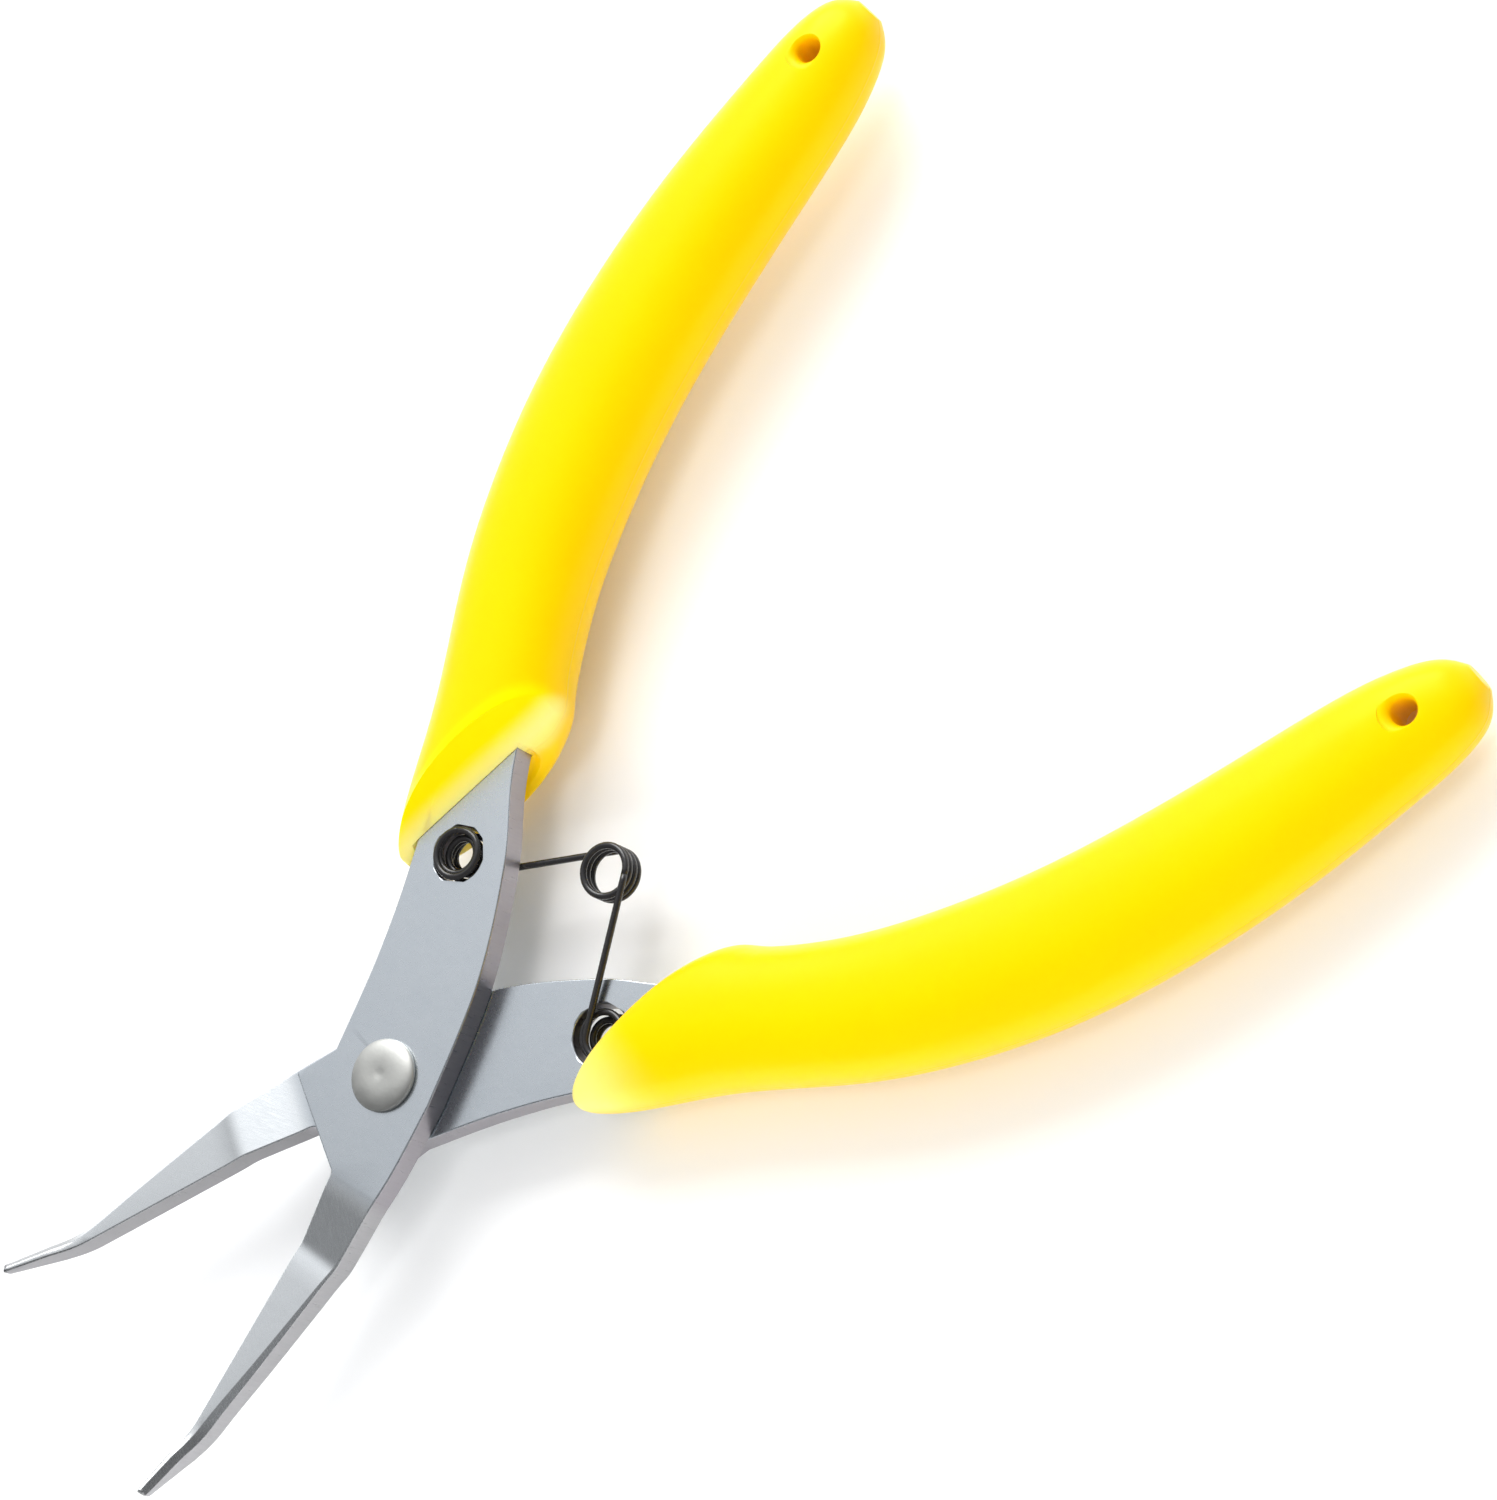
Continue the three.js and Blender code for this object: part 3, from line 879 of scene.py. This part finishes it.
def bumped(nodes, links, height, strength, distance, under=None):
    """Normal of a surface raised by up to `distance` millimetres, over an earlier bump."""
    b = nodes.new("ShaderNodeBump")
    b.inputs["Strength"].default_value = strength
    b.inputs["Distance"].default_value = distance * MM
    links.new(height, b.inputs["Height"])
    if under:
        links.new(under, b.inputs["Normal"])
    return b.outputs["Normal"]


def upright(nodes, links):
    """1 where the surface faces up or down, 0 on a side wall."""
    g = nodes.new("ShaderNodeNewGeometry")
    split = nodes.new("ShaderNodeSeparateXYZ")
    links.new(g.outputs["Normal"], split.inputs[0])
    flatness = calc(nodes, links, "ABSOLUTE", split.outputs["Z"])
    return ranged(nodes, links, flatness, 0.3, 0.75, 0.0, 1.0)


def steel_material(name, jaw_turn, jaw_walls_painted_light, nose):
    """Satin sheet with a ground jaw and sheared side walls; the walls carry painted shade, and the
    jaw's walls and nose come in a lit copy and a shaded copy for the two halves.
    """
    material, nodes, links, shader = new_material(name)
    plain = coordinates(nodes, links)
    jaw = stored(nodes, "along_jaw")
    ground = ranged(nodes, links, jaw, *GROUND_FROM, 0.0, 1.0)
    on_nose = ranged(nodes, links, jaw, *NOSE_FROM, 0.0, 1.0)
    flat = upright(nodes, links)
    clouds = noise(nodes, links, plain, scale=0.45, detail=4.0, rough=0.6)
    grain = noise(nodes, links, plain, scale=3.5, detail=3.0, rough=0.6)
    specks = noise(nodes, links, plain, scale=1.6, detail=4.0, rough=0.6)
    # grinding marks lie across the jaw, slightly slanted
    across = coordinates(nodes, links, (0.55, 7.5, 0.55), jaw_turn)
    marks = noise(nodes, links, across, scale=1.6, detail=6.0, rough=0.75)
    # the sheared edge has short upright streaks
    walls = coordinates(nodes, links, (5.0, 5.0, 0.35))
    streaks = noise(nodes, links, walls, scale=1.3, detail=4.0, rough=0.6)

    top = blend_colours(nodes, links, clouds, *STEEL_TOP)
    milled = blend_colours(nodes, links, marks, *STEEL_GROUND)
    # the nose's finish in the half's copy: painted light on the front half, painted shade on the
    # back half
    bent = blend_colours(nodes, links, marks, *nose)
    milled = blend_colours(nodes, links, on_nose, milled, bent)
    faces = blend_colours(nodes, links, ground, top, milled)
    # the side walls get a darker steel: sheared streaks with painted shade
    sides = blend_colours(nodes, links, streaks, *STEEL_WALLS_WITH_SHADE)
    # the jaw's walls take the half's copy: painted light on the front half, painted shade on the
    # back half
    jaw_sides_painted_light = blend_colours(nodes, links, streaks, *jaw_walls_painted_light)
    sides = blend_colours(nodes, links, ground, sides, jaw_sides_painted_light)
    colour = blend_colours(nodes, links, flat, sides, faces)
    links.new(colour, shader.inputs["Base Color"])
    shader.inputs["Metallic"].default_value = 1.0

    satin = spread(nodes, links, specks, 0.25, 0.30)
    shiny = spread(nodes, links, marks, 0.20, 0.32)
    side_rough = spread(nodes, links, streaks, 0.26, 0.40)
    rough = blend_values(nodes, links, ground, satin, shiny)
    rough = blend_values(nodes, links, flat, side_rough, rough)
    links.new(rough, shader.inputs["Roughness"])

    grain = calc(nodes, links, "MULTIPLY", grain, 0.22)
    fine = blend_values(nodes, links, ground, grain, marks)
    height = blend_values(nodes, links, flat, streaks, fine)
    normal = bumped(nodes, links, height, strength=0.08, distance=0.012)
    normal = bumped(nodes, links, clouds, strength=0.25, distance=0.04, under=normal)
    links.new(normal, shader.inputs["Normal"])
    return material


def rivet_material():
    material, nodes, links, shader = new_material("rivet_steel")
    plain = coordinates(nodes, links)
    clouds = noise(nodes, links, plain, scale=0.9, detail=4.0, rough=0.6)
    grain = noise(nodes, links, plain, scale=4.0, detail=3.0, rough=0.6)
    colour = blend_colours(nodes, links, clouds, *RIVET_COLOURS)
    links.new(colour, shader.inputs["Base Color"])
    shader.inputs["Metallic"].default_value = 1.0
    links.new(spread(nodes, links, clouds, 0.46, 0.54), shader.inputs["Roughness"])
    normal = bumped(nodes, links, grain, strength=0.3, distance=0.01)
    normal = bumped(nodes, links, clouds, strength=0.3, distance=0.06, under=normal)
    links.new(normal, shader.inputs["Normal"])
    return material


def spring_material():
    material, nodes, links, shader = new_material("spring_steel")
    plain = coordinates(nodes, links)
    clouds = noise(nodes, links, plain, scale=1.4, detail=4.0, rough=0.6)
    grain = noise(nodes, links, plain, scale=12.0, detail=3.0, rough=0.6)
    colour = blend_colours(nodes, links, clouds, *SPRING_COLOURS)
    links.new(colour, shader.inputs["Base Color"])
    shader.inputs["Metallic"].default_value = 0.1
    shader.inputs["Specular IOR Level"].default_value = 0.6
    links.new(spread(nodes, links, clouds, 0.14, 0.24), shader.inputs["Roughness"])
    normal = bumped(nodes, links, grain, strength=0.2, distance=0.01)
    links.new(normal, shader.inputs["Normal"])
    return material


def grip_material(name, mid_height):
    """Yellow plastic with painted light at the mouth, a lightened lip and a painted highlight
    band, and a fine mould line at mid height.
    """
    material, nodes, links, shader = new_material(name)
    plain = coordinates(nodes, links)
    clouds = noise(nodes, links, plain, scale=0.09, detail=3.0, rough=0.5)
    peel = noise(nodes, links, plain, scale=1.1, detail=2.0, rough=0.5)
    grain = noise(nodes, links, plain, scale=8.0, detail=3.0, rough=0.6)
    colour = blend_colours(nodes, links, clouds, *GRIP_COLOURS)
    # painted light on the leaning upper lip
    colour = blend_colours(nodes, links, stored(nodes, "lip"), colour, LIP_PAINTED_LIGHT)
    # painted highlight band along the lips
    colour = blend_colours(nodes, links, stored(nodes, "rim"), colour, RIM_HIGHLIGHT)
    links.new(colour, shader.inputs["Base Color"])
    links.new(spread(nodes, links, peel, 0.28, 0.36), shader.inputs["Roughness"])
    shader.inputs["Specular IOR Level"].default_value = 0.28
    shader.inputs["Specular Tint"].default_value = (1.0, 0.85, 0.15, 1)
    shader.inputs["Subsurface Weight"].default_value = 0.25
    shader.inputs["Subsurface Radius"].default_value = (1.0, 0.55, 0.05)
    shader.inputs["Subsurface Scale"].default_value = 0.0015

    where = nodes.new("ShaderNodeTexCoord")
    split = nodes.new("ShaderNodeSeparateXYZ")
    links.new(where.outputs["Object"], split.inputs[0])
    off = calc(nodes, links, "SUBTRACT", split.outputs["Z"], mid_height)
    off = calc(nodes, links, "ABSOLUTE", off)
    seam = ranged(nodes, links, off, 0.04 * MM, 0.16 * MM, 1.0, 0.0)
    normal = bumped(nodes, links, seam, strength=0.6, distance=0.05)
    normal = bumped(nodes, links, peel, strength=0.12, distance=0.05, under=normal)
    normal = bumped(nodes, links, grain, strength=0.08, distance=0.008, under=normal)
    links.new(normal, shader.inputs["Normal"])
    return material


# ------------------------------------------------------------------ the object

jaw_turn = OPEN_HALF + GRIND_SLANT
# the front half gets the lit copies of the jaw's walls and nose, the back half the shaded copies:
# painted light and painted shade
front_steel = steel_material("front_steel", jaw_turn, FRONT_JAW_WALLS_LIT, FRONT_NOSE_LIT)
back_steel = steel_material("back_steel", -jaw_turn, BACK_JAW_WALLS_SHADED, BACK_NOSE_SHADED)
front_yellow = grip_material("front_yellow", place((0, 0, PLATE / 2)).z)
back_yellow = grip_material("back_yellow", place((0, 0, -PLATE / 2)).z)
black = spring_material()

finish_piece(plate_mesh("front_half_plate", 1, FRONT_EAR, FRONT_EYE_HOLE_R, False),
             "front_half", ["front_plate"], front_steel)
finish_piece(plate_mesh("back_half_plate", -1, BACK_EAR, BACK_EYE_HOLE_R, True),
             "back_half", ["back_plate"], back_steel)
finish_piece(rivet_mesh(), "front_half", ["pivot_rivet"], rivet_material())
finish_piece(grip_mesh("front_half_grip", FRONT_SLIP, False),
             "front_half", ["front_grip"], front_yellow)
finish_piece(grip_mesh("back_half_grip", BACK_SLIP, True),
             "back_half", ["back_grip"], back_yellow)
finish_piece(leg_mesh("front_leg_wire", False),
             "front_leg", ["spring_front_leg"], black)
finish_piece(leg_mesh("back_leg_wire", True),
             "back_leg", ["spring_back_leg"], black)
coil = finish_piece(coil_mesh("coil_wire"), None, [], black)
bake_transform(coil)


# ------------------------------------------------------------------ stage

def stage_floor():
    """Plain pale paper, three metres to each side."""
    size = 3.0
    verts = [(-size, -size, 0), (size, -size, 0), (size, size, 0), (-size, size, 0)]
    floor = mesh_object("floor", [Vector(v) for v in verts], [(0, 1, 2, 3)])
    material, nodes, links, shader = new_material("floor_paper")
    shader.inputs["Base Color"].default_value = (0.93, 0.93, 0.93, 1)
    shader.inputs["Roughness"].default_value = 0.85
    floor.data.materials.append(material)


def area_light(name, direction, distance, size, power, mirrored=True):
    """Softbox that points at the pivot; shiny surfaces show it only if it is mirrored."""
    data = bpy.data.lights.new(name, "AREA")
    data.shape = "RECTANGLE"
    data.size, data.size_y = size
    data.energy = power
    lamp = bpy.data.objects.new(name, data)
    bpy.context.scene.collection.objects.link(lamp)
    out = Vector(direction).normalized()
    lamp.location = PIVOT + out * distance
    lamp.rotation_mode = "QUATERNION"
    lamp.rotation_quaternion = out.to_track_quat("Z", "Y")
    lamp.visible_glossy = mirrored


def make_world():
    """Light tent: bright on the side away from the camera and above, dim on the other sides."""
    world = bpy.data.worlds.new("studio")
    bpy.context.scene.world = world
    world.use_nodes = True
    nodes, links = world.node_tree.nodes, world.node_tree.links
    background = nodes["Background"]
    where = nodes.new("ShaderNodeTexCoord")
    facing = nodes.new("ShaderNodeVectorMath")
    facing.operation = "DOT_PRODUCT"
    facing.inputs[1].default_value = LIT_SIDE
    links.new(where.outputs["Generated"], facing.inputs[0])
    ramp = nodes.new("ShaderNodeMapRange")
    ramp.interpolation_type = "SMOOTHSTEP"
    ramp.inputs["From Min"].default_value = 0.34
    ramp.inputs["From Max"].default_value = 0.78
    ramp.inputs["To Min"].default_value = 0.24
    ramp.inputs["To Max"].default_value = 0.98
    links.new(facing.outputs["Value"], ramp.inputs["Value"])
    links.new(ramp.outputs["Result"], background.inputs["Strength"])
    background.inputs["Color"].default_value = (0.95, 0.97, 1.0, 1)


def make_camera():
    data = bpy.data.cameras.new("camera")
    data.sensor_width = 36
    data.lens = CAMERA_LENS
    data.clip_start, data.clip_end = 0.02, 10
    camera = bpy.data.objects.new("camera", data)
    bpy.context.scene.collection.objects.link(camera)
    turn = Matrix((CAMERA_RIGHT, -CAMERA_DOWN, -CAMERA_FORWARD)).transposed().to_4x4()
    camera.matrix_world = Matrix.Translation(PIVOT + CAMERA_SPOT * MM) @ turn
    bpy.context.scene.camera = camera


stage_floor()
make_world()
area_light("key", (-0.66, 0.45, 0.60), 0.9, (0.6, 0.6), 7.0)
area_light("fill", (0.72, -0.50, 0.48), 0.9, (0.7, 0.7), 7.0, mirrored=False)
area_light("top", (0.15, 0.0, 0.99), 0.9, (0.3, 0.3), 1.4, mirrored=False)
make_camera()
bpy.context.scene.view_settings.view_transform = "Standard"
